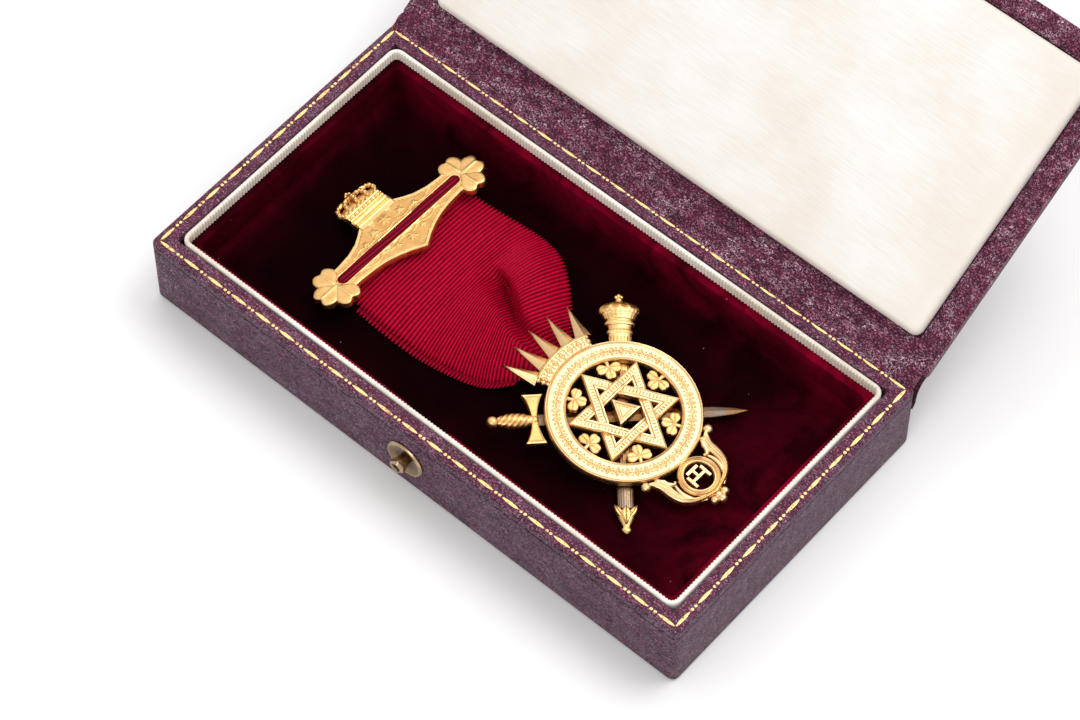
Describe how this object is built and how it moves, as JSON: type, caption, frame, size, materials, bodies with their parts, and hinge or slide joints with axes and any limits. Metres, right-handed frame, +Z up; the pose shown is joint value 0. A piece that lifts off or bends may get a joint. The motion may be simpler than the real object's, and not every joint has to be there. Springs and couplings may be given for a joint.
{
  "type": "masonic medal in a hinged presentation case",
  "caption": "Gilt jewel with a pierced star ring, crossed sword and sceptre, crimson ribbon and slotted brooch bar, lying in an open leather case with velvet tray and padded lid.",
  "frame": {"origin": "centre of the case base's flat underside", "axes": "+X along the case from the brooch bar to the pendant, +Y from the catch button to the hinge, +Z up"},
  "size_m": [0.1424, 0.1473, 0.0604],
  "materials": {
    "silver_gilt": "cast and engraved silver, gilt, satin on the flats and bright on the edges",
    "tarnished_silver": "silver with traces of gilding, dulled by tarnish",
    "ribbed_silk": "crimson silk ribbon with fine ribs across its width",
    "leather": "aubergine leather with straight grain, gold tooling on the rim",
    "lip_silk": "cream ribbed silk",
    "velvet": "deep crimson velvet",
    "satin": "ivory silk over wadding",
    "brass": "bright brass, slightly dulled"
  },
  "bodies": {
    "case": {"case_base": "leather", "case_lip": "lip_silk", "velvet_lining": "velvet", "button_cup": "brass", "push_button": "brass", "hinge_base": "brass", "hinge_pin": "brass", "brooch_pin": "silver_gilt", "ribbon": "ribbed_silk", "sword": "tarnished_silver", "brooch_bar": "silver_gilt", "hanging_loop": "silver_gilt", "jewel_ring": "silver_gilt", "rayed_crown": "silver_gilt", "scroll_frame": "silver_gilt", "star": "silver_gilt", "centre_triangle": "silver_gilt", "sceptre": "silver_gilt", "shamrock_1": "silver_gilt", "shamrock_2": "silver_gilt", "shamrock_3": "silver_gilt", "shamrock_4": "silver_gilt", "shamrock_5": "silver_gilt", "shamrock_6": "silver_gilt"},
    "lid": {"hinge_lid": "brass", "lid_board": "leather", "lid_pad": "satin", "lid_catch": "brass"}
  },
  "joints": [
    {"name": "lid_hinge", "type": "hinge", "parent": "case", "child": "lid", "pos_m": [0, 0.0392, 0.02], "axis": [1, 0, 0], "range_deg": [0, 148.8]}
  ]
}
